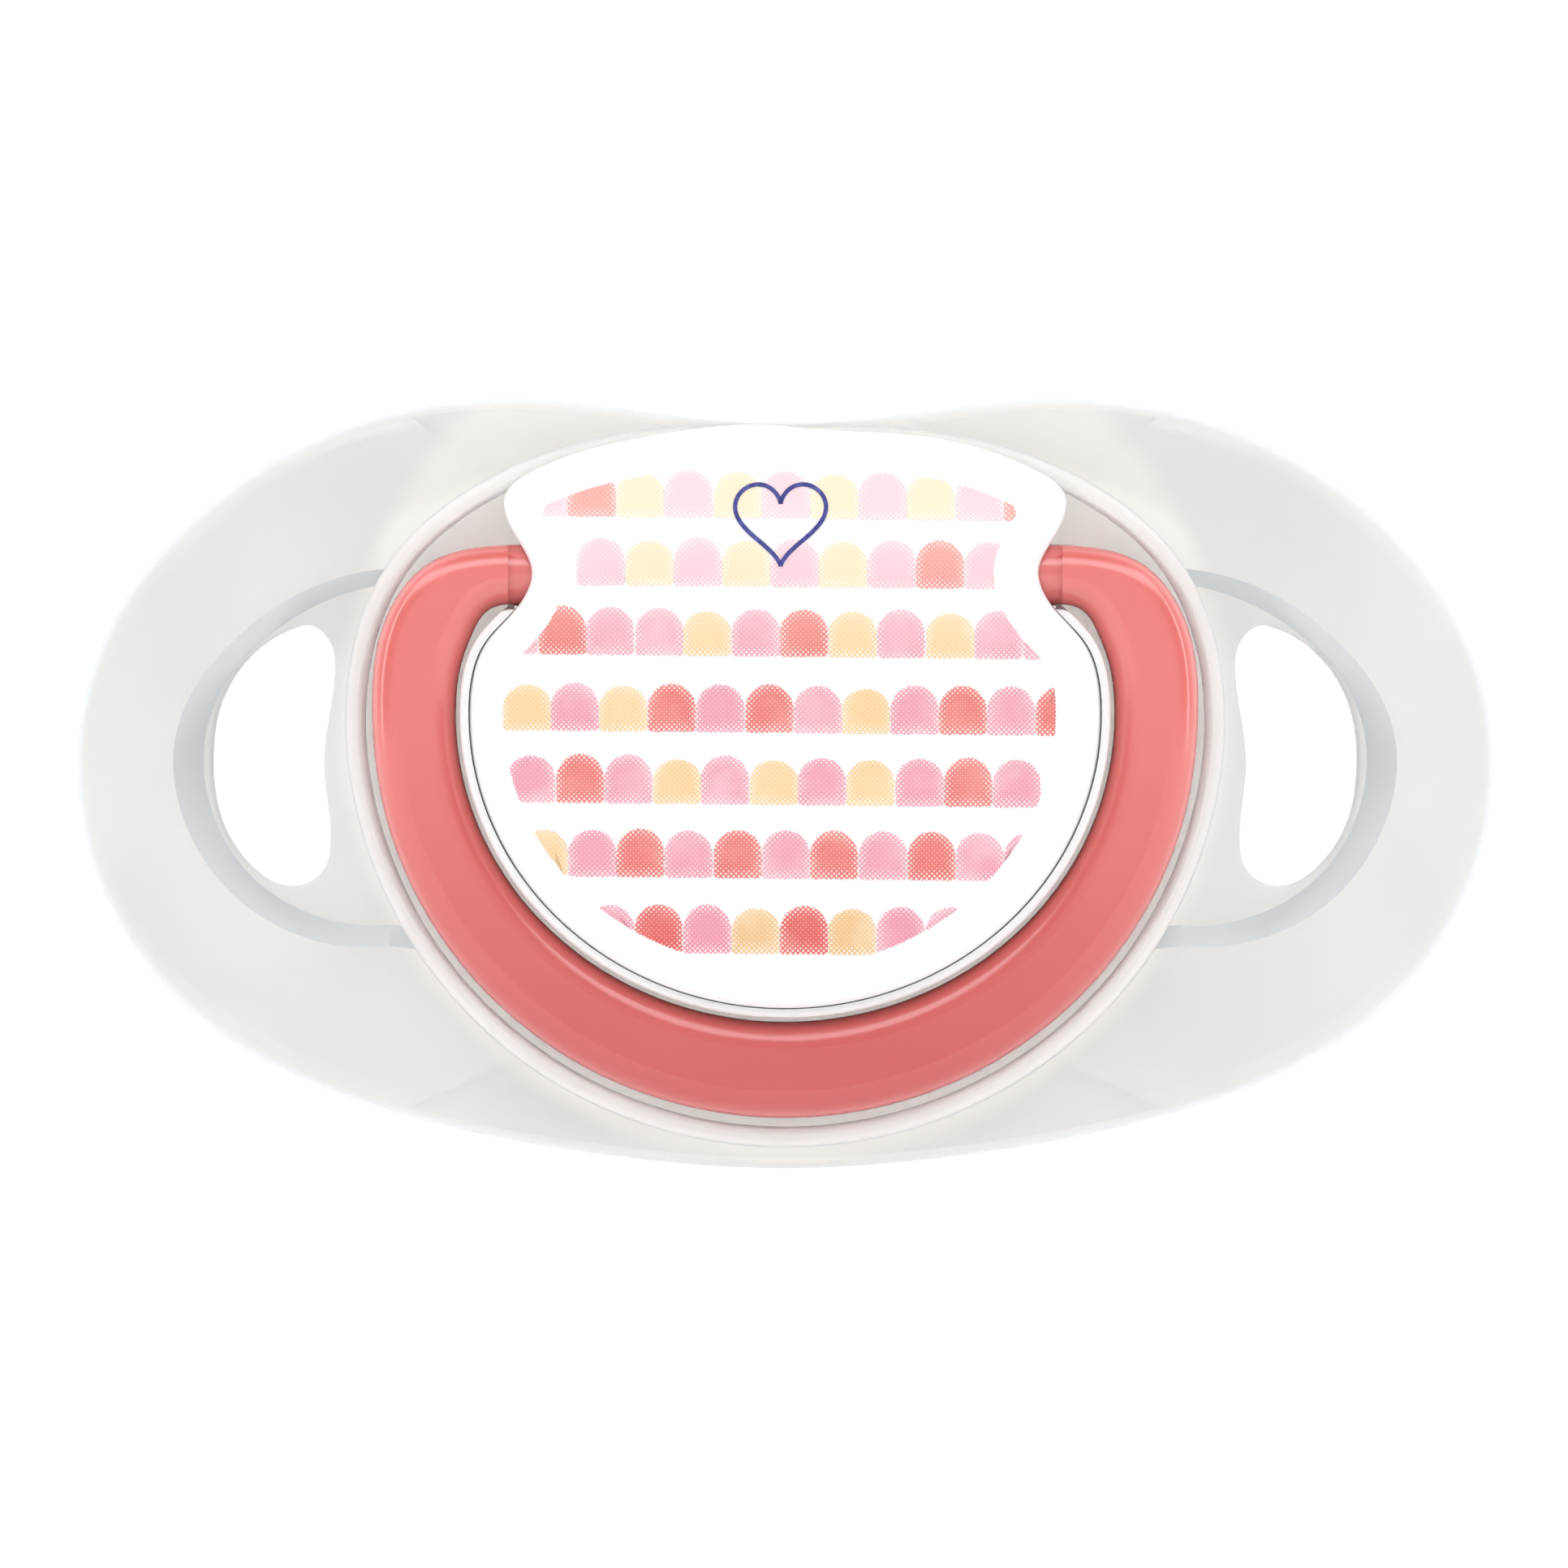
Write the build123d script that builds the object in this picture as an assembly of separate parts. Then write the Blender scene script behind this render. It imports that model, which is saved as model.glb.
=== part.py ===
"""A baby's pacifier: shield, hollow teat, teat plug, hinge base, printed cap and swinging ring.

Frame, in millimetres: X across the shield, Y along the teat (the mouth is at +Y, the front at -Y), Z up.
The origin is on the teat's axis at the back face of the shield, where the lips rest.
Outlines are drawn as (x, z) points and are mirrored about x = 0.
"""

from build123d import *
import math
import os

# How far cutting bodies reach past the whole object, and past a single face
REACH = 50.0
CUT_MARGIN = 1.0

# Shield: a curved plate whose wings sweep back towards the cheeks
FRONT_AT_CENTRE = -3.6
FRONT_RADIUS = 53.4
BACK_RADIUS = 50.0
CROWN_RADIUS = 240.0
FRONT_EDGE_ROUND = 1.3
BACK_EDGE_ROUND = 0.9
SHORTEST_RIM = 50.0
PANEL_RELIEF = 0.25
POCKET_DEPTH = 2.9
POCKET_FRONT = -4.0
POCKET_BACK = 9.0
POCKET_INNER_X = 12.0

# Collar and dish, where the ring lies
COLLAR_FRONT = -4.5
COLLAR_LAND = 0.9
COLLAR_HALF_WIDTH = 19.4
COLLAR_DROP = 19.1
COLLAR_ROUND = 0.35
COLLAR_ROOT = 0.5
DISH_FLOOR = -2.4

# Seat of the teat
TEAT_HOLE_RADIUS = 6.2
LIP_SEAT_RADIUS = 8.8
LIP_SEAT_DEPTH = 1.0

# Teat
LIP_RADIUS = 8.6
LIP_THICKNESS = 0.9
LIP_PLAY = 0.05
NECK_RADIUS = 6.1
NECK_BORE_RADIUS = 4.1
BARB_BORE_RADIUS = 4.5
NECK_END = 0.8
TEAT_WALL = 1.4
TEAT_LENGTH = 28.0
BARB_BORE_START = 1.2
BARB_BORE_END = 3.6
THINNEST_CAVITY = (0.4, 0.3)

# Hinge
HINGE_Y = -4.6
HINGE_Z = 8.3
BAR_RADIUS = 1.33
BAR_CLEARANCE = 0.06

# Ring
RING_THICKNESS = 3.2
RING_ROUND = 1.2
RING_CENTRE_Z = 2.15
RING_OUTER_HALF_WIDTH = 18.2
RING_OUTER_DROP = 17.8
RING_INNER_HALF_WIDTH = 14.5
RING_INNER_DROP = 13.55
RING_TOP = HINGE_Z + BAR_RADIUS
ARM_START_X = 12.2
ARM_SWEEP_RADIUS = 2.3
ARM_SIDE_GAP = 0.3
BAR_OVERLAP = 0.5
BAR_SLOT = 0.2

# Cap
CAP_BACK = -4.8
CAP_FRONT = -8.4
CAP_DOME_RADIUS = 50.0
CAP_DOME_Z = 2.0
CAP_WALL = 1.2
CAP_ROUND = 0.7
CAP_BOWL_HALF_WIDTH = 13.9
CAP_BOWL_DROP = 12.95
CAP_STEM_RADIUS = 2.5
CAP_STEM_END = 1.5
KEEPER_LENGTH = 15.0
KEEPER_HEIGHT = 2.2

# Hinge base
BASE_BACK = -2.45
BASE_MARGIN = 0.42
BASE_TO_DISH = 0.3
BASE_BOSS_INSET = 1.6
BASE_BOSS_FRONT = -6.1
BASE_HOLE_RADIUS = 4.15
BEZEL_FRONT = -6.3
BEZEL_ROUND = 0.2
BEZEL_PLAY = 0.04
ASSEMBLY_GAP = 0.15

# Teat plug
PLUG_HEAD_RADIUS = 6.2
PLUG_HEAD_FRONT = -5.4
PLUG_HEAD_BACK = -4.1
PLUG_STEM_RADIUS = 4.0
PLUG_BARB_RADIUS = 4.4
PLUG_BARB_START = 1.4
PLUG_BARB_END = 3.0
PLUG_BARB_TAPER = 0.6
PLUG_BORE_RADIUS = 2.6

# Outlines, right half from the top centre to the bottom centre
SHIELD_OUTLINE = [
    (0, 15.0),
    (4.6, 15.3),
    (11.7, 16.1),
    (18.85, 15.1),
    (26.0, 11.1),
    (30.4, 5.3),
    (31.5, -0.1),
    (30.4, -5.6),
    (26.0, -11.3),
    (17.0, -15.55),
    (8.1, -17.3),
    (0, -17.9),
]
COLLAR_UPPER_OUTLINE = [(0, 14.85), (6.8, 14.6), (12.8, 12.7), (17.5, 8.8)]
CAP_UPPER_OUTLINE = [
    (0, 14.8),
    (5.8, 14.4),
    (10.9, 12.95),
    (12.35, 11.75),
    (11.95, 10.1),
    (11.15, 8.4),
    (11.75, 6.9),
    (13.2, 5.25),
]
VENT_HOLE = [
    (21.4, 6.1),
    (23.6, 4.85),
    (25.05, 2.6),
    (25.4, 0.0),
    (25.05, -2.4),
    (23.75, -4.5),
    (21.9, -5.46),
    (20.55, -4.85),
    (20.15, -3.4),
    (20.45, 0.0),
    (19.95, 4.1),
    (20.2, 5.4),
]
POCKET_EDGE = [(17.1, 8.65), (21.4, 7.6), (25.2, 4.6), (27.15, 0), (25.7, -4.5), (21.9, -7.55), (17.5, -8.15)]
POCKET_FOOT = [(17.1, 8.0), (20.9, 6.9), (24.2, 4.1), (25.4, 0), (24.3, -3.9), (21.2, -6.55), (17.5, -7.2)]
TOP_PANEL = [(-18.6, 17.0), (-12.2, 11.8), (12.2, 11.8), (18.6, 17.0)]
BOTTOM_PANEL = [(-21.0, -17.2), (-11.2, -12.8), (11.2, -12.8), (21.0, -17.2), (0, -24.0)]

# Teat sections: depth y, half width, half height, height of the centre
TEAT_SECTIONS = [
    (0.8, 6.0, 6.0, 0.0),
    (4.0, 5.5, 5.5, 0.0),
    (8.0, 5.0, 4.8, 0.0),
    (12.5, 5.6, 4.7, 0.2),
    (17.0, 7.0, 5.3, 0.6),
    (21.0, 7.7, 5.5, 1.05),
    (24.2, 7.0, 4.9, 1.5),
    (26.5, 5.1, 3.5, 1.9),
    (27.7, 2.7, 1.8, 2.15),
    (28.0, 0.9, 0.6, 2.2),
]


def prism(face, y_from, y_to):
    """A face drawn at y = 0, moved to y_from and extruded back to y_to."""
    return extrude(Pos(0, y_from, 0) * face, amount=y_from - y_to)


def loop(points):
    """The closed smooth curve through right-half points, from top to bottom, and their mirror images."""
    left = [(-x, z) for x, z in reversed(points[1:-1])]
    return Spline(*points, *left, periodic=True)


def loop_face(points):
    """The face, at y = 0, inside a closed smooth curve."""
    return Plane.XZ * make_face(loop(points))


def grown(points, distance, spots=28):
    """Right-half points of a closed smooth curve moved outwards by a distance."""
    curve = loop(points)
    moved = []
    for index in range(spots + 1):
        place = curve @ (index / spots / 2)
        along = curve % (index / spots / 2)
        moved.append((place.X - along.Y * distance, place.Y + along.X * distance))
    moved[0] = (0, moved[0][1])
    moved[-1] = (0, moved[-1][1])
    return moved


def ellipse_points(half_width, drop, centre_z, count):
    """Points of the lower right quarter of an ellipse, from its side to just before its bottom."""
    angles = [math.pi / 2 * index / count for index in range(count)]
    return [(half_width * math.cos(angle), centre_z - drop * math.sin(angle)) for angle in angles]


def disc(radius, y_from, y_to):
    """A round bar along the teat's axis."""
    return Pos(0, (y_from + y_to) / 2, 0) * Rot(90, 0, 0) * Cylinder(radius, abs(y_to - y_from))


def hinge_bar(radius, length):
    """A round bar on the hinge axis."""
    return Pos(0, HINGE_Y, HINGE_Z) * Rot(0, 90, 0) * Cylinder(radius, length)


def right_half():
    """A box that holds everything on the right of the middle plane."""
    return Box(REACH, 2 * REACH, 2 * REACH, align=(Align.MIN, Align.CENTER, Align.CENTER))


def barrel(radius, front_y):
    """A barrel about an upright axis whose wall passes (0, front_y, 0) and bows by the crown radius."""
    half_height = 26.0
    end_radius = radius - CROWN_RADIUS + math.sqrt(CROWN_RADIUS**2 - half_height**2)
    bow = ThreePointArc((end_radius, -half_height), (radius, 0), (end_radius, half_height))
    ends = Polyline((end_radius, half_height), (0, half_height), (0, -half_height), (end_radius, -half_height))
    return Pos(0, front_y + radius, 0) * revolve(Plane.XZ * make_face(bow + ends), Axis.Z)


def front_depth(x):
    """The depth of the shield's front surface at a distance x from the middle."""
    return FRONT_AT_CENTRE + FRONT_RADIUS - math.sqrt(FRONT_RADIUS**2 - x**2)


# ---------------------------------------------------------------- shield


def shield_plate():
    """The right half of the curved plate, with rounded edges."""
    slab = prism(loop_face(SHIELD_OUTLINE), -REACH, REACH)
    plate = (slab & barrel(FRONT_RADIUS, FRONT_AT_CENTRE)) - barrel(BACK_RADIUS, 0)
    for nearest, rounding in ((False, BACK_EDGE_ROUND), (True, FRONT_EDGE_ROUND)):
        rims = plate.edges().filter_by(lambda edge: edge.length > SHORTEST_RIM)
        rims = rims.sort_by(lambda edge: edge.center().Y, reverse=not nearest)
        plate = fillet(rims[0], rounding)
    return plate & right_half()


def pocket_outline(y):
    """The pocket's section at depth y: its wall leans in from the edge to the foot."""
    wall = []
    for edge, foot in zip(POCKET_EDGE, POCKET_FOOT):
        drop = (y - front_depth(edge[0])) / POCKET_DEPTH
        wall.append((edge[0] + (foot[0] - edge[0]) * drop, edge[1] + (foot[1] - edge[1]) * drop))
    back = Polyline(wall[-1], (POCKET_INNER_X, wall[-1][1]), (POCKET_INNER_X, wall[0][1]), wall[0])
    return Pos(0, y, 0) * (Plane.XZ * make_face(Spline(*wall) + back))


def vent_pocket(collar):
    """The cut for one vent: a pocket beside the collar, and a hole through its floor."""
    pocket = loft([pocket_outline(POCKET_FRONT), pocket_outline(POCKET_BACK)], ruled=True)
    pocket = pocket - barrel(FRONT_RADIUS, FRONT_AT_CENTRE + POCKET_DEPTH) - collar
    hole = prism(Plane.XZ * make_face(Spline(*VENT_HOLE, periodic=True)), -REACH, REACH)
    return pocket + hole


def panel_cut():
    """The shallow relief of the plate above and below the collar."""
    panels = Plane.XZ * make_face(Polyline(*TOP_PANEL, close=True))
    panels += Plane.XZ * make_face(Polyline(*BOTTOM_PANEL, close=True))
    return prism(panels, -REACH, REACH) - barrel(FRONT_RADIUS, FRONT_AT_CENTRE + PANEL_RELIEF)


def collar_outline():
    """The collar's outline: shallow at the top, and a long round bow below."""
    bow = ellipse_points(COLLAR_HALF_WIDTH, COLLAR_DROP, RING_CENTRE_Z, 6)
    return COLLAR_UPPER_OUTLINE + bow + [(0, RING_CENTRE_Z - COLLAR_DROP)]


def collar_wall():
    """The round wall that stands around the dish, with softened rims."""
    wall = prism(loop_face(collar_outline()), COLLAR_FRONT, REACH)
    wall = wall - prism(loop_face(grown(collar_outline(), -COLLAR_LAND)), -REACH, DISH_FLOOR)
    rims = wall.edges().filter_by(lambda edge: abs(edge.center().Y - COLLAR_FRONT) < 0.01)
    return fillet(rims, COLLAR_ROUND) - barrel(BACK_RADIUS, -COLLAR_ROOT)


def make_shield():
    """The flange: plate, collar with its dish, two vents and the teat's seat."""
    core = loop_face(grown(collar_outline(), -COLLAR_LAND / 2))
    half = shield_plate() - vent_pocket(prism(core, -REACH, REACH)) - panel_cut()
    half = half - prism(core, -REACH, DISH_FLOOR)
    half = half + (collar_wall() & right_half())
    half = half - disc(TEAT_HOLE_RADIUS, -REACH, REACH)
    half = half - disc(LIP_SEAT_RADIUS, -REACH, DISH_FLOOR + LIP_SEAT_DEPTH)
    return half + mirror(half, Plane.YZ)


# ---------------------------------------------------------------- teat


def teat_form(inset):
    """The teat's outer form, or its cavity when inset is the wall."""
    sections = []
    for y, half_width, half_height, centre_z in TEAT_SECTIONS:
        depth = y if y < TEAT_LENGTH / 2 else y - inset * (y / TEAT_LENGTH) ** 4
        width = max(half_width - inset, THINNEST_CAVITY[0])
        height = max(half_height - inset, THINNEST_CAVITY[1])
        sections.append(Plane.XZ.offset(-depth) * Pos(0, centre_z) * Ellipse(width, height))
    return loft(sections)


def make_teat():
    """The hollow silicone teat, whose lip is clamped in the shield."""
    lip_back = DISH_FLOOR + LIP_SEAT_DEPTH - LIP_PLAY
    teat = teat_form(0) + disc(NECK_RADIUS, lip_back, NECK_END) + disc(LIP_RADIUS, lip_back - LIP_THICKNESS, lip_back)
    teat = teat - teat_form(TEAT_WALL) - disc(NECK_BORE_RADIUS, -REACH, PLUG_BARB_START)
    return teat - disc(BARB_BORE_RADIUS, BARB_BORE_START, BARB_BORE_END)


# ---------------------------------------------------------------- cap and base


def cap_outline():
    """The flask-like outline: a shallow arc, flared corners, a neck and a round bowl."""
    bowl = ellipse_points(CAP_BOWL_HALF_WIDTH, CAP_BOWL_DROP, RING_CENTRE_Z, 6)
    return CAP_UPPER_OUTLINE + bowl + [(0, RING_CENTRE_Z - CAP_BOWL_DROP)]


def dome(radius):
    """A large ball whose front is the cap's dome."""
    return Pos(0, CAP_FRONT + CAP_DOME_RADIUS, CAP_DOME_Z) * Sphere(radius)


def make_front_cap():
    """The glossy cap: a domed shell with a stem at its back and a rib that keeps the hinge bar."""
    outline = cap_outline()
    body = loop_face(outline)
    cap = prism(body, CAP_FRONT - CUT_MARGIN, CAP_BACK) & dome(CAP_DOME_RADIUS)
    front_rim = cap.edges().filter_by(lambda edge: edge.bounding_box().max.Y < CAP_BACK - CAP_ROUND)
    cap = fillet(front_rim, CAP_ROUND)
    inside = loop_face(grown(outline, -CAP_WALL))
    cap = cap - (prism(inside, CAP_FRONT, CAP_BACK + CUT_MARGIN) & dome(CAP_DOME_RADIUS - CAP_WALL))
    within_shell = dome(CAP_DOME_RADIUS - CAP_WALL / 2)
    keeper = Pos(0, HINGE_Y - BAR_RADIUS, HINGE_Z) * Box(
        KEEPER_LENGTH, REACH, KEEPER_HEIGHT, align=(Align.CENTER, Align.MAX, Align.CENTER)
    )
    stem = disc(CAP_STEM_RADIUS, CAP_FRONT, CAP_STEM_END)
    cap = cap + (keeper & within_shell) + (stem & within_shell)
    return cap - hinge_bar(BAR_RADIUS + BAR_CLEARANCE, REACH)


def below_hinge():
    """All room lower than the hinge bar's middle."""
    return Pos(0, 0, HINGE_Z) * Box(REACH, REACH, REACH, align=(Align.CENTER, Align.CENTER, Align.MAX))


def bezel():
    """The thin clear wall that stands round the cap's bowl, below the hinge bar."""
    wall = prism(loop_face(grown(cap_outline(), BASE_MARGIN)), BEZEL_FRONT, CAP_BACK)
    rim = wall.edges().filter_by(lambda edge: edge.bounding_box().max.Y < BEZEL_FRONT + BEZEL_ROUND)
    wall = fillet(rim, BEZEL_ROUND)
    wall = wall - prism(loop_face(grown(cap_outline(), BEZEL_PLAY)), -REACH, REACH)
    return wall & below_hinge()


def make_knob_base():
    """The clear base that the cap sits on, with the saddle that the ring's bar turns in."""
    outline = cap_outline()
    dish = prism(loop_face(grown(collar_outline(), -COLLAR_LAND - BASE_TO_DISH)), -REACH, REACH)
    foot = prism(loop_face(outline), CAP_BACK, BASE_BACK)
    foot = foot + (prism(loop_face(grown(outline, BASE_MARGIN)), CAP_BACK, BASE_BACK) & below_hinge())
    boss = prism(loop_face(grown(outline, -BASE_BOSS_INSET)), BASE_BOSS_FRONT, CAP_BACK)
    boss = boss & dome(CAP_DOME_RADIUS - CAP_WALL - ASSEMBLY_GAP)
    base = (foot + boss + bezel()) & dish
    saddle_radius = BAR_RADIUS + BAR_CLEARANCE
    entry = Pos(0, HINGE_Y, HINGE_Z) * Box(
        REACH, REACH, 2 * saddle_radius, align=(Align.CENTER, Align.MAX, Align.CENTER)
    )
    base = base - hinge_bar(saddle_radius, REACH) - entry
    between_arms = Box(2 * (ARM_START_X - ARM_SIDE_GAP), REACH, REACH)
    base = base - (hinge_bar(ARM_SWEEP_RADIUS, REACH) - between_arms)
    base = base - disc(BASE_HOLE_RADIUS, -REACH, REACH)
    return base - disc(PLUG_HEAD_RADIUS + ASSEMBLY_GAP, -REACH, PLUG_HEAD_BACK)


def make_teat_plug():
    """The plug that clamps the base and the teat to the shield; its barb spreads inside the teat."""
    plug = disc(PLUG_HEAD_RADIUS, PLUG_HEAD_FRONT, PLUG_HEAD_BACK)
    plug = plug + disc(PLUG_STEM_RADIUS, PLUG_HEAD_BACK, PLUG_BARB_END)
    barb = Pos(0, (PLUG_BARB_START + PLUG_BARB_END) / 2, 0) * Rot(-90, 0, 0) * Cone(
        PLUG_BARB_RADIUS, PLUG_BARB_RADIUS - PLUG_BARB_TAPER, PLUG_BARB_END - PLUG_BARB_START
    )
    return plug + barb - disc(PLUG_BORE_RADIUS, -REACH, REACH)


# ---------------------------------------------------------------- ring


def ring_outline():
    """The outside of the ring: level arms, round shoulders and a long round bow."""
    shoulder = [(0, RING_TOP), (6.0, RING_TOP), (12.0, RING_TOP), (15.7, 8.8), (17.5, 6.6)]
    bow = ellipse_points(RING_OUTER_HALF_WIDTH, RING_OUTER_DROP, RING_CENTRE_Z, 6)
    return shoulder + bow + [(0, RING_CENTRE_Z - RING_OUTER_DROP)]


def ring_opening():
    """The face of the ring's opening, below its bar."""
    bar_bottom = HINGE_Z - BAR_RADIUS
    corner = Spline(
        (ARM_START_X, bar_bottom),
        (13.75, 5.75),
        (RING_INNER_HALF_WIDTH, RING_CENTRE_Z),
        tangents=[(1, 0), (0, -1)],
    )
    bow = EllipticalCenterArc((0, RING_CENTRE_Z), RING_INNER_HALF_WIDTH, RING_INNER_DROP, 0, arc_size=-90)
    half = Line((0, bar_bottom), (ARM_START_X, bar_bottom)) + corner + bow
    return Plane.XZ * make_face(half + mirror(half, Plane.YZ))


def make_ring_handle():
    """The ring: a rounded flat bow whose two arms are joined by a round bar."""
    front = HINGE_Y - RING_THICKNESS / 2
    back = HINGE_Y + RING_THICKNESS / 2
    ring = prism(loop_face(ring_outline()), front, back) - prism(ring_opening(), front, back)
    flat_edges = ring.edges().filter_by(lambda edge: edge.bounding_box().size.Y < 0.01)
    ring = fillet(flat_edges, RING_ROUND)
    slot = Box(2 * ARM_START_X, REACH, 2 * (BAR_RADIUS + BAR_SLOT))
    ring = ring - Pos(0, HINGE_Y, HINGE_Z) * slot
    return ring + hinge_bar(BAR_RADIUS, 2 * (ARM_START_X + BAR_OVERLAP))


PARTS = {
    "shield": make_shield,
    "teat": make_teat,
    "teat_plug": make_teat_plug,
    "knob_base": make_knob_base,
    "front_cap": make_front_cap,
    "ring_handle": make_ring_handle,
}


def main():
    """Write one STEP file for each piece."""
    os.makedirs("parts", exist_ok=True)
    for name, make in PARTS.items():
        export_step(make(), f"parts/{name}.step")


if __name__ == "__main__":
    main()
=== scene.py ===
import math
import random
import bpy
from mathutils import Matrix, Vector
from mathutils.bvhtree import BVHTree


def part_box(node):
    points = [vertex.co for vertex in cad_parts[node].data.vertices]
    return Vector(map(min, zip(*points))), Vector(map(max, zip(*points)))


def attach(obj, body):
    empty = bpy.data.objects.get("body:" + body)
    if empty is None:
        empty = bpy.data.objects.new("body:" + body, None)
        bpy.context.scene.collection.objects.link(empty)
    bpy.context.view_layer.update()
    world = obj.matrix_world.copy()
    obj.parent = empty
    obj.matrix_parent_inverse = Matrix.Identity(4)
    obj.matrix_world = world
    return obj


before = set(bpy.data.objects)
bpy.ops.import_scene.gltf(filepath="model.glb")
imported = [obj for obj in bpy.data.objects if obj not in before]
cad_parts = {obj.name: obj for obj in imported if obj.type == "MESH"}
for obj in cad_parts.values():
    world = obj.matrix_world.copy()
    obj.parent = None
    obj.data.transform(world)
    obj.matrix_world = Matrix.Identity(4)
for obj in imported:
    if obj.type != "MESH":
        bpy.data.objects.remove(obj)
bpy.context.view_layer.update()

MM = 0.001

# Camera: straight from the front, far away
VIEW_WIDTH = 69.35 * MM
VIEW_CENTRE = Vector((-0.05, 0, -0.93)) * MM
CAMERA_DISTANCE = 1.2

# Studio
FLOOR_Z = -40 * MM
FLOOR_RADIUS = 1.5

# Sky: its strength in front and behind, that of the broad light band high in front, that of the
# glow round the camera, and that of the plain white which only the camera sees
FRONT_SKY = 0.12
BACK_SKY = 1.3
BAND = 2.8
FACE_GLOW = 0.65
CAMERA_WHITE = 1.05

# Softboxes, one on each side: how far each is turned from the front and raised, in degrees, its
# distance, its width and height, and its power in watts
LIGHT_TURN = 78
LIGHT_RISE = 15
LIGHT_DISTANCE = 0.7
LIGHT_SIZE = (0.12, 0.5)
LIGHT_POWER = 0.6

# Painted light on the shield: a brighter, warmer colour that lifts the recessed dish out of its shade. It
# is full inside a circle round the dish and fades out over its edge, and it is half as strong above the
# collar's upper edge, which falls off sideways by so many metres per square metre
DISH_LIGHT_CENTRE_Z = 2 * MM
DISH_LIGHT_FADE = (20.2 * MM, 18.8 * MM)
COLLAR_FADE = (15.6 * MM, 14.6 * MM)
COLLAR_ARCH = 14.5

# Print on the cap, in millimetres, as are all sizes down to the heart's: rows of scallops, each
# with the height of its base line, the left edge of its first scallop, and its inks
PRINT_ROWS = [
    (10.74, -11.68, "PCYPYPYPYPC"),
    (7.73, -9.15, "PYPYPYPCP"),
    (4.66, -12.99, "PCPPYPCYPYPP"),
    (1.31, -12.42, "YPYCPCPYPCPC"),
    (-1.86, -12.20, "PCPYPYPYPCP"),
    (-5.10, -11.68, "YPCPCPCPCPP"),
    (-8.42, -8.75, "PCPYCYPP"),
]
PRINT_SLOPE = -0.0105
PRINT_PITCH = 2.132
PRINT_SEED = 7

# The printed field: the height of its centre, a reach beyond the cap's edge, how far the field
# stays inside that edge, and how far it is moved sideways
PRINT_CENTRE_Z = 2.0
PRINT_REACH = 20.0
PRINT_MARGIN = 1.75
PRINT_SHIFT = -0.25

# Scallops: the gap between two, the height of the upright sides, the radius of the foot corners,
# and how much places and heights vary
SCALLOP_GAP = 0.04
SCALLOP_SIDE = 1.05
SCALLOP_FOOT_ROUND = 0.14
SCALLOP_PLAY = 0.05

# Ragged edges: the step between two points, how far they are drawn in or out, and the least and
# the most share of that; and the pitch of the halftone's dots
EDGE_STEP = 0.08
EDGE_RIPPLE = 0.035
RIPPLE_PLAY = (0.4, 1.4)
DOT_PITCH = 0.16

# Inks: the height of a scallop, and its colour half-way up, at the top of the cap with a painted sheen, and
# at its foot with painted shade
INKS = {
    "P": ("pink", 2.1, (229, 155, 172), (243, 218, 224), (228, 144, 164)),
    "C": ("coral", 2.12, (226, 120, 115), (240, 178, 170), (217, 82, 79)),
    "Y": ("yellow", 1.98, (237, 200, 149), (244, 233, 205), (225, 178, 122)),
}

# Ink layers: how deep each is sunk in the cap, and how far it stands in front
INK_SINK = 0.01
PATTERN_RELIEF = 0.025
HEART_RELIEF = 0.045

# Heart: a plain outline over the top rows, with the width of its formula's own heart
HEART_WIDTH = 4.0
HEART_FORMULA_WIDTH = 32
HEART_CENTRE = (-0.2, 10.75)
HEART_LINE = 0.19
HEART_SPOTS = 120


def colour(red, green, blue):
    """Linear RGBA from 8-bit sRGB."""
    linear = []
    for value in (red, green, blue):
        part = value / 255
        linear.append(part / 12.92 if part <= 0.04045 else ((part + 0.055) / 1.055) ** 2.4)
    return (*linear, 1.0)


# ---------------------------------------------------------------- node building blocks


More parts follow.
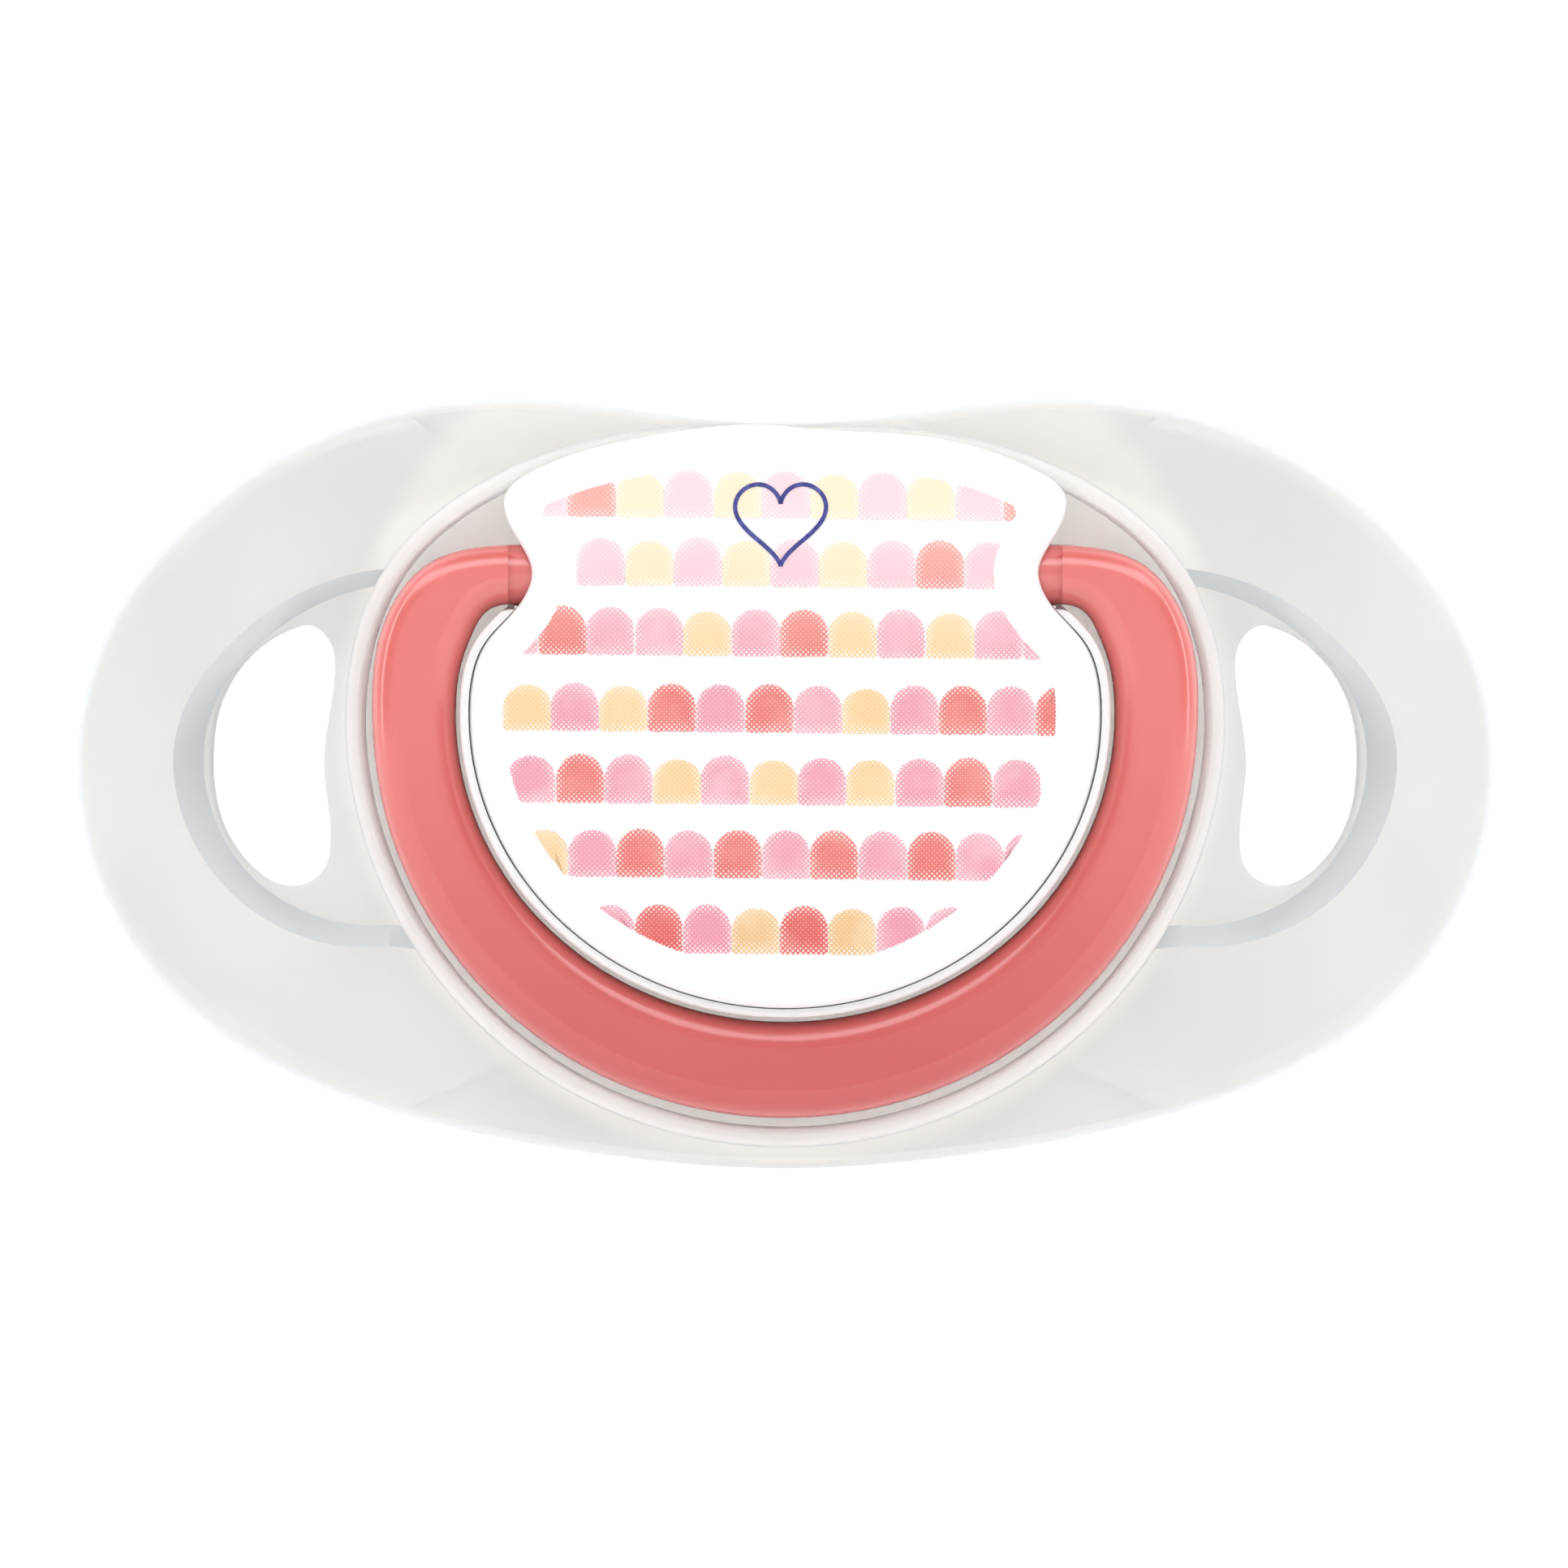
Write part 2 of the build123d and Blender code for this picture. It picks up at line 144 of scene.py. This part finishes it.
class Nodes:
    """Short ways to add nodes to a node tree and to join them."""

    def __init__(self, tree):
        self.tree = tree

    def node(self, kind, **settings):
        node = self.tree.nodes.new("ShaderNode" + kind)
        for key, value in settings.items():
            setattr(node, key, value)
        return node

    def link(self, source, target):
        self.tree.links.new(source, target)

    def feed(self, socket, source):
        """Set a socket to a number or a colour, or link it to an output."""
        if isinstance(source, (int, float, tuple)):
            socket.default_value = source
        else:
            self.link(source, socket)

    def math(self, operation, first, second=0.0):
        node = self.node("Math", operation=operation)
        self.feed(node.inputs[0], first)
        self.feed(node.inputs[1], second)
        return node.outputs[0]

    def distance(self, first, second):
        """The length of the hypotenuse over two sides."""
        squares = [self.math("POWER", side, 2) for side in (first, second)]
        return self.math("SQRT", self.math("ADD", *squares))

    def split(self, vector):
        """The x, y and z outputs of a vector."""
        node = self.node("SeparateXYZ")
        self.link(vector, node.inputs[0])
        return node.outputs

    def place(self, output="Object"):
        """The x, y and z outputs of the object's coordinates, in metres, or of others."""
        return self.split(self.node("TexCoord").outputs[output])

    def mapped(self, **settings):
        """The object's coordinates, scaled or turned."""
        node = self.node("Mapping")
        for key, value in settings.items():
            node.inputs[key].default_value = value
        self.link(self.node("TexCoord").outputs["Object"], node.inputs["Vector"])
        return node.outputs["Vector"]

    def ramp(self, value, low, high, to_low=0.0, to_high=1.0):
        """A smooth step: to_low where the value is at low, and to_high where it is at high."""
        node = self.node("MapRange", interpolation_type="SMOOTHSTEP")
        self.link(value, node.inputs["Value"])
        levels = {"From Min": low, "From Max": high, "To Min": to_low, "To Max": to_high}
        for key, level in levels.items():
            node.inputs[key].default_value = level
        return node.outputs["Result"]

    def noise(self, scale, detail=2.0, stretch=(1, 1, 1)):
        """Noise in object coordinates, with its scale in cells per metre."""
        node = self.node("TexNoise")
        node.inputs["Scale"].default_value = scale
        node.inputs["Detail"].default_value = detail
        self.link(self.mapped(Scale=stretch), node.inputs["Vector"])
        return node.outputs["Fac"]

    def mix(self, factor, first, second):
        """A colour between two others, each a colour or an output."""
        node = self.node("Mix", data_type="RGBA")
        sockets = (node.inputs[0], node.inputs[6], node.inputs[7])
        for socket, source in zip(sockets, (factor, first, second)):
            self.feed(socket, source)
        return node.outputs[2]

    def mottle(self, first, second, scale, low=0.3, high=0.7, detail=2.0, most=1.0):
        """A colour that wanders, by noise between two levels, towards another."""
        return self.mix(self.ramp(self.noise(scale, detail), low, high, 0, most), first, second)


class Shader(Nodes):
    """A node material built around one Principled shader."""

    def __init__(self, name, **settings):
        self.material = bpy.data.materials.new(name)
        self.material.use_nodes = True
        super().__init__(self.material.node_tree)
        self.shader = self.tree.nodes["Principled BSDF"]
        self.set(**settings)

    def set(self, **settings):
        """Set the shader's sockets, with underscores for the spaces in their names."""
        for key, value in settings.items():
            self.shader.inputs[key.replace("_", " ")].default_value = value

    def bump(self, height, strength, distance):
        """Feed a height value to the shader's normal."""
        node = self.node("Bump")
        node.inputs["Strength"].default_value = strength
        node.inputs["Distance"].default_value = distance
        self.link(height, node.inputs["Height"])
        self.link(node.outputs["Normal"], self.shader.inputs["Normal"])

    def paint(self, source):
        """Feed a colour output to the shader."""
        self.link(source, self.shader.inputs["Base Color"])

    def roughen(self, low, high, scale):
        """Roughness that wanders between two levels."""
        self.link(self.ramp(self.noise(scale), 0.3, 0.7, low, high), self.shader.inputs["Roughness"])

    def scatter(self, weight, radius, scale):
        """Light that spreads under the surface."""
        self.set(Subsurface_Weight=weight, Subsurface_Radius=radius, Subsurface_Scale=scale)


# ---------------------------------------------------------------- materials


def shield_material():
    """Milky polypropylene with painted light: a cool, lighter tint where its walls turn away, and a
    brighter, warmer colour in and round the dish.
    """
    made = Shader("shield_plastic", IOR=1.49, Transmission_Weight=0.55)
    made.scatter(1.0, (1.0, 0.97, 0.94), 2.5 * MM)
    x, _, z = made.place()
    # Painted light: a brighter, warmer colour inside a circle round the dish, half as strong above the
    # collar's upper edge
    in_circle = made.ramp(made.distance(x, made.math("SUBTRACT", z, DISH_LIGHT_CENTRE_Z)), *DISH_LIGHT_FADE)
    fall = made.math("MULTIPLY", made.math("POWER", x, 2), COLLAR_ARCH)
    below_edge = made.ramp(made.math("ADD", z, fall), *COLLAR_FADE, 0.5, 1)
    plate = made.mottle(colour(228, 228, 226), colour(233, 233, 231), 120, low=0.35)
    body = made.mix(made.math("MULTIPLY", in_circle, below_edge), plate, colour(253, 248, 243))
    # Painted light and shade: walls that turn away from the front get a cool, lighter tint
    wall_light_mask = made.ramp(made.math("ABSOLUTE", made.place("Normal")[1]), 0.75, 0.3)
    made.paint(made.mix(wall_light_mask, body, colour(240, 244, 248)))
    made.roughen(0.3, 0.36, 260)
    return made.material


def ring_material():
    """Glossy coral moulding, with painted shade that darkens it towards the foot of the bow."""
    made = Shader("ring_plastic", IOR=1.5, Coat_Weight=1.0, Coat_Roughness=0.12)
    made.scatter(0.25, (1.0, 0.35, 0.3), 1.2 * MM)
    height = made.place()[2]
    # Painted shade: the coral darkens towards the foot of the bow, as if lit from above
    body = made.mix(made.ramp(height, -15 * MM, 4 * MM), colour(198, 80, 78), colour(224, 115, 111))
    made.paint(made.mottle(body, colour(234, 130, 125), 90, high=0.8, most=0.15))
    made.roughen(0.2, 0.26, 200)
    made.bump(made.noise(420, 3), 0.04, 0.03 * MM)
    return made.material


def cap_material():
    """Glossy opaque white with a faint orange peel."""
    made = Shader("cap_plastic", IOR=1.5)
    made.scatter(0.15, (1.0, 1.0, 1.0), 0.6 * MM)
    made.paint(made.mottle(colour(246, 248, 249), colour(250, 251, 251), 150))
    made.roughen(0.1, 0.18, 180)
    made.bump(made.noise(500, 3), 0.08, 0.03 * MM)
    return made.material


def clear_material(name, tint, deep_tint, transmission, roughness):
    """Clear moulded plastic with slight flow marks."""
    made = Shader(name, IOR=1.49, Transmission_Weight=transmission)
    made.scatter(0.6, (1.0, 0.96, 0.92), 0.3 * MM)
    made.paint(made.mottle(tint, deep_tint, 200, detail=3))
    made.roughen(roughness, roughness + 0.06, 240)
    made.bump(made.noise(300, stretch=(1, 3, 1)), 0.08, 0.03 * MM)
    return made.material


def silicone_material():
    """Slightly hazy silicone with soft gloss, a little deeper towards its tip."""
    made = Shader("teat_silicone", IOR=1.41, Transmission_Weight=0.4)
    made.scatter(0.8, (1.0, 0.95, 0.85), 2 * MM)
    along = made.place()[1]
    body = made.mix(made.ramp(along, 2 * MM, 26 * MM), colour(250, 247, 240), colour(246, 240, 228))
    made.paint(made.mottle(body, colour(240, 232, 216), 160, low=0.35, high=0.75, detail=3, most=0.3))
    made.roughen(0.28, 0.36, 320)
    made.bump(made.noise(900, 3), 0.05, 0.02 * MM)
    return made.material


def ink_material(name, ink, pale_and_sheen, painted_shade_ink):
    """Screen-printed ink: light halftone dots near its edges, paled high up by a painted sheen and deepened
    low down by painted shade.
    """
    made = Shader(name, IOR=1.5, Roughness=0.24)
    height = made.place()[2]
    # Painted shade deepens the ink low on the cap, and a painted sheen pales it high up
    body = made.mix(made.ramp(height, -3 * MM, -9 * MM, 0, 0.8), ink, painted_shade_ink)
    body = made.mix(made.ramp(height, 3 * MM, 11 * MM, 0, 0.85), body, pale_and_sheen)
    body = made.mottle(body, pale_and_sheen, 420, low=0.4, high=0.8, most=0.35)

    # Waves that peak at the halftone's dots, in rows at 45 degrees
    rate = 2 * math.pi / (DOT_PITCH * MM)
    lattice = made.split(made.mapped(Rotation=(0, math.radians(45), 0), Scale=(rate, rate, rate)))
    waves = made.math("ADD", made.math("COSINE", lattice[0]), made.math("COSINE", lattice[2]))

    # Dots that are smaller the farther they are from the scallop's edge, in millimetres
    across, up, _ = made.split(made.node("UVMap", uv_map="scallop").outputs["UV"])
    above = made.math("MAXIMUM", made.math("SUBTRACT", up, SCALLOP_SIDE), 0.0)
    to_side = made.math("SUBTRACT", PRINT_PITCH / 2, made.distance(across, above))
    to_edge = made.math("MINIMUM", to_side, made.math("MULTIPLY", up, 0.8))
    spread = made.math("ADD", to_edge, made.math("MULTIPLY", made.noise(900), 0.25))
    level = made.ramp(spread, 0.1, 0.62, 0.2, 1.7)
    dots = made.ramp(made.math("SUBTRACT", waves, level), -0.25, 0.35)
    made.paint(made.mix(made.math("MULTIPLY", dots, 0.7), body, colour(253, 250, 248)))
    made.bump(waves, 0.05, 0.01 * MM)
    return made.material


def line_material():
    """Navy printed line with slight unevenness."""
    made = Shader("outline_ink", IOR=1.5, Roughness=0.26)
    made.paint(made.mottle(colour(58, 60, 132), colour(88, 92, 158), 2600, low=0.35, high=0.75))
    made.bump(made.noise(3000), 0.08, 0.01 * MM)
    return made.material


def floor_material():
    """Matt white studio paper."""
    made = Shader("floor_paper", Roughness=0.95)
    made.paint(made.mottle(colour(251, 251, 251), colour(253, 253, 253), 300, detail=4))
    return made.material


def dress(node, material):
    """Give a CAD node its material."""
    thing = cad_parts[node]
    if not thing.material_slots:
        thing.data.materials.append(material)
    for entry in thing.material_slots:
        entry.material = material


# ---------------------------------------------------------------- print on the cap


def cap_tree():
    """A search tree of the cap's surface."""
    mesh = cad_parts["front_cap"].data
    corners = [vertex.co.copy() for vertex in mesh.vertices]
    return BVHTree.FromPolygons(corners, [list(face.vertices) for face in mesh.polygons])


CAP_TREE = cap_tree()
CAP_FRONT_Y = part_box("front_cap")[0][1]


def cap_surface(x, z):
    """The depth of the cap's front at a place in millimetres, or None beside the cap."""
    start = Vector((x * MM, CAP_FRONT_Y - MM, z * MM))
    spot = CAP_TREE.ray_cast(start, Vector((0, 1, 0)))[0]
    return spot.y if spot else None


def farthest(angle, inside):
    """The last place, going out from the print's centre, at which inside(x, z) holds."""
    near = 0.0
    far = PRINT_REACH
    for _ in range(16):
        middle = (near + far) / 2
        if inside(middle * math.cos(angle), PRINT_CENTRE_Z + middle * math.sin(angle)):
            near = middle
        else:
            far = middle
    return (near * math.cos(angle), PRINT_CENTRE_Z + near * math.sin(angle))


def print_border(spots=240):
    """The edge of the printed field: the cap's outline, drawn in by the margin and moved sideways."""

    def on_cap(x, z):
        return cap_surface(x, z) is not None

    def in_field(x, z):
        return on_cap(x, z) and PRINT_MARGIN < min(
            math.hypot(x - edge_x, z - edge_z) for edge_x, edge_z in outline)

    angles = [2 * math.pi * index / spots for index in range(spots)]
    outline = [farthest(angle, on_cap) for angle in angles]
    border = [farthest(angle, in_field) for angle in angles]
    return [(x + PRINT_SHIFT, z) for x, z in border]


def arc(centre_x, centre_z, radius_x, radius_z, start, end, steps):
    """Points on an ellipse between two angles in degrees."""
    turns = [math.radians(start + (end - start) * step / steps) for step in range(steps + 1)]
    return [(centre_x + radius_x * math.cos(turn), centre_z + radius_z * math.sin(turn)) for turn in turns]


def scallop_outline(left, base, width, height):
    """A convex outline: rounded foot corners, upright sides and a round top."""
    half = width / 2
    corner = SCALLOP_FOOT_ROUND
    return (
        arc(left + width - corner, base + corner, corner, corner, -90, 0, 4)
        + arc(left + half, base + SCALLOP_SIDE, half, height - SCALLOP_SIDE, 0, 180, 16)
        + arc(left + corner, base + corner, corner, corner, 180, 270, 4)
    )


def clipped(subject, clipper):
    """The part of a polygon inside a convex, anticlockwise one."""
    result = subject
    for index, (ax, az) in enumerate(clipper):
        bx, bz = clipper[(index + 1) % len(clipper)]
        kept = []
        sides = [(bx - ax) * (z - az) - (bz - az) * (x - ax) for x, z in result]
        for spot, (x, z) in enumerate(result):
            side = sides[spot]
            last_x, last_z = result[spot - 1]
            last = sides[spot - 1]
            if (side >= 0) != (last >= 0):
                share = last / (last - side)
                kept.append((last_x + (x - last_x) * share, last_z + (z - last_z) * share))
            if side >= 0:
                kept.append((x, z))
        result = kept
        if not result:
            break
    return result


def ragged(outline, rng):
    """The same outline in short even steps, with its points drawn in and out in turn."""
    lengths = []
    for index, (x, z) in enumerate(outline):
        next_x, next_z = outline[(index + 1) % len(outline)]
        lengths.append(math.hypot(next_x - x, next_z - z))
    total = sum(lengths)
    count = 2 * round(total / EDGE_STEP / 2)
    points = []
    index = 0
    passed = 0.0
    for step in range(count):
        target = total * step / count
        while passed + lengths[index] < target:
            passed += lengths[index]
            index += 1
        x, z = outline[index]
        next_x, next_z = outline[(index + 1) % len(outline)]
        share = (target - passed) / lengths[index]
        along_x = (next_x - x) / lengths[index]
        along_z = (next_z - z) / lengths[index]
        push = EDGE_RIPPLE * (1 if step % 2 else -1) * rng.uniform(*RIPPLE_PLAY)
        points.append((
            x + (next_x - x) * share + along_z * push,
            z + (next_z - z) * share - along_x * push,
        ))
    return points


class InkMesh:
    """Collects flat patches of ink and lays them on the cap as one thin closed body each."""

    def __init__(self, relief):
        self.relief = relief * MM
        self.corners = []
        self.faces = []
        self.local = []

    def lay(self, x, z, local):
        """Add a corner on the ink's front and one on its sunken back; return the front's number."""
        y = cap_surface(x, z)
        self.corners.append((x * MM, y - self.relief, z * MM))
        self.corners.append((x * MM, y + INK_SINK * MM, z * MM))
        self.local.extend([local, local])
        return len(self.corners) - 2

    def patch(self, outline, origin):
        """A filled patch that fans out from its middle."""
        middle_x = sum(x for x, _ in outline) / len(outline)
        middle_z = sum(z for _, z in outline) / len(outline)
        middle = self.lay(middle_x, middle_z, (middle_x - origin[0], middle_z - origin[1]))
        rim = [self.lay(x, z, (x - origin[0], z - origin[1])) for x, z in outline]
        for index, here in enumerate(rim):
            there = rim[(index + 1) % len(rim)]
            self.faces.append((middle, here, there))
            self.faces.append((middle + 1, there + 1, here + 1))
            self.faces.append((here, here + 1, there + 1, there))

    def ribbon(self, inner, outer):
        """A closed band between two loops."""
        inside = [self.lay(x, z, (0, 0)) for x, z in inner]
        outside = [self.lay(x, z, (0, 0)) for x, z in outer]
        for index in range(len(inside)):
            after = (index + 1) % len(inside)
            a, b = inside[index], inside[after]
            c, d = outside[after], outside[index]
            self.faces.append((a, d, c, b))
            self.faces.append((a + 1, b + 1, c + 1, d + 1))
            self.faces.append((d, d + 1, c + 1, c))
            self.faces.append((a, b, b + 1, a + 1))

    def finish(self, name, material, slot):
        """Make the object, shade it smooth with crisp rims, and let it ride on the pacifier."""
        mesh = bpy.data.meshes.new(name)
        mesh.from_pydata(self.corners, [], self.faces)
        layer = mesh.uv_layers.new(name="scallop")
        for corner in mesh.loops:
            layer.data[corner.index].uv = self.local[corner.vertex_index]
        mesh.shade_smooth()
        mesh.set_sharp_from_angle(angle=math.radians(40))
        mesh.materials.append(material)
        piece = bpy.data.objects.new(name, mesh)
        bpy.context.scene.collection.objects.link(piece)
        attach(piece, "pacifier")


def print_pattern():
    """All scallops, one object for each colour."""
    rng = random.Random(PRINT_SEED)
    border = print_border()
    inks = {letter: InkMesh(PATTERN_RELIEF) for letter in INKS}
    for base, first, letters in PRINT_ROWS:
        for place, letter in enumerate(letters):
            left = first + place * PRINT_PITCH + rng.uniform(-SCALLOP_PLAY, SCALLOP_PLAY) / 2
            width = PRINT_PITCH - SCALLOP_GAP
            foot = base + PRINT_SLOPE * left
            height = INKS[letter][1] + rng.uniform(-SCALLOP_PLAY, SCALLOP_PLAY)
            shape = clipped(border, scallop_outline(left, foot, width, height))
            if len(shape) > 2:
                inks[letter].patch(ragged(shape, rng), (left + width / 2, foot))
    for letter, (name, _, *shades) in INKS.items():
        material = ink_material("ink_" + name, *[colour(*shade) for shade in shades])
        inks[letter].finish("print_" + name, material, "print_ink")


def heart_curve(grow):
    """An anticlockwise plain heart by the usual formula, moved outwards by a distance."""
    scale = HEART_WIDTH / HEART_FORMULA_WIDTH
    points = []
    for index in range(HEART_SPOTS):
        turn = -2 * math.pi * (index + 0.5) / HEART_SPOTS
        x = 16 * math.sin(turn) ** 3
        z = 13 * math.cos(turn) - 5 * math.cos(2 * turn) - 2 * math.cos(3 * turn) - math.cos(4 * turn)
        along_x = 48 * math.sin(turn) ** 2 * math.cos(turn)
        along_z = (
            -13 * math.sin(turn) + 10 * math.sin(2 * turn) + 6 * math.sin(3 * turn) + 4 * math.sin(4 * turn)
        )
        size = math.hypot(along_x, along_z)
        points.append((
            HEART_CENTRE[0] + x * scale - along_z / size * grow,
            HEART_CENTRE[1] + z * scale + along_x / size * grow,
        ))
    return points


def print_heart():
    """The outline of a small heart over the top rows."""
    ink = InkMesh(HEART_RELIEF)
    ink.ribbon(heart_curve(-HEART_LINE / 2), heart_curve(HEART_LINE / 2))
    ink.finish("print_heart", line_material(), "outline_ink")


# ---------------------------------------------------------------- studio


def make_camera():
    """A camera level with the object, whose view at the object is VIEW_WIDTH wide."""
    data = bpy.data.cameras.new("camera")
    data.sensor_width = 36
    data.lens = data.sensor_width * CAMERA_DISTANCE / VIEW_WIDTH
    data.clip_start = 0.01
    data.clip_end = 20
    camera = bpy.data.objects.new("camera", data)
    bpy.context.scene.collection.objects.link(camera)
    camera.location = VIEW_CENTRE + Vector((0, -CAMERA_DISTANCE, 0))
    camera.rotation_euler = (math.radians(90), 0, 0)
    bpy.context.scene.camera = camera


def make_floor():
    """A round sheet of paper below the object."""
    mesh = bpy.data.meshes.new("floor")
    spots = 96
    points = []
    for index in range(spots):
        angle = 2 * math.pi * index / spots
        points.append((FLOOR_RADIUS * math.cos(angle), FLOOR_RADIUS * math.sin(angle), FLOOR_Z))
    mesh.from_pydata(points, [], [list(range(spots))])
    floor = bpy.data.objects.new("floor", mesh)
    bpy.context.scene.collection.objects.link(floor)
    mesh.materials.append(floor_material())


def softbox(name, azimuth):
    """An area light that faces the object from a direction: azimuth 0 is the front, 90 the right."""
    data = bpy.data.lights.new(name, "AREA")
    data.shape = "RECTANGLE"
    data.size, data.size_y = LIGHT_SIZE
    data.energy = LIGHT_POWER
    light = bpy.data.objects.new(name, data)
    light.visible_camera = False
    turn = math.radians(azimuth)
    rise = math.radians(LIGHT_RISE)
    direction = Vector((
        math.sin(turn) * math.cos(rise),
        -math.cos(turn) * math.cos(rise),
        math.sin(rise),
    ))
    light.location = direction * LIGHT_DISTANCE
    light.rotation_euler = direction.to_track_quat("Z", "Y").to_euler()
    bpy.context.scene.collection.objects.link(light)


def make_world():
    """White for the camera; for everything else a soft sky with a light band and a glow.

    The sky is brighter behind the object, the band is high in front, and the glow is round the camera.
    """
    world = bpy.data.worlds.new("studio")
    bpy.context.scene.world = world
    world.use_nodes = True
    made = Nodes(world.node_tree)
    made.tree.nodes.clear()

    # Parts of a direction of length 1: y is -1 towards the camera, and z is 1 straight up
    _, y, z = made.place("Generated")
    sky = made.ramp(y, -0.2, 0.4, FRONT_SKY, BACK_SKY)
    band = made.math("MULTIPLY", made.ramp(z, 0.5, 0.66, 0, BAND), made.ramp(z, 0.8, 0.94, 1, 0))
    band = made.math("MULTIPLY", band, made.ramp(y, -0.2, 0.1, 1, 0))
    face = made.ramp(y, -0.97, -0.6, FACE_GLOW, 0)
    strength = made.math("ADD", made.math("ADD", sky, band), face)
    mix = made.node("MixShader")
    made.link(made.node("LightPath").outputs["Is Camera Ray"], mix.inputs[0])
    for socket, level in zip(mix.inputs[1:], (strength, CAMERA_WHITE)):
        shade = made.node("Background")
        shade.inputs["Color"].default_value = (1, 1, 1, 1)
        made.feed(shade.inputs["Strength"], level)
        made.link(shade.outputs[0], socket)
    made.link(mix.outputs[0], made.node("OutputWorld").inputs[0])


make_camera()
make_world()
make_floor()
softbox("light_left", -LIGHT_TURN)
softbox("light_right", LIGHT_TURN)
dress("shield", shield_material())
dress("ring_handle", ring_material())
dress("front_cap", cap_material())
dress("knob_base", clear_material(
    "base_plastic", colour(255, 253, 250), colour(252, 249, 246), transmission=0.12, roughness=0.12))
dress("teat_plug", clear_material(
    "plug_plastic", colour(246, 246, 243), colour(238, 239, 236), transmission=0.45, roughness=0.2))
dress("teat", silicone_material())
print_pattern()
print_heart()
bpy.context.scene.view_settings.view_transform = "Standard"
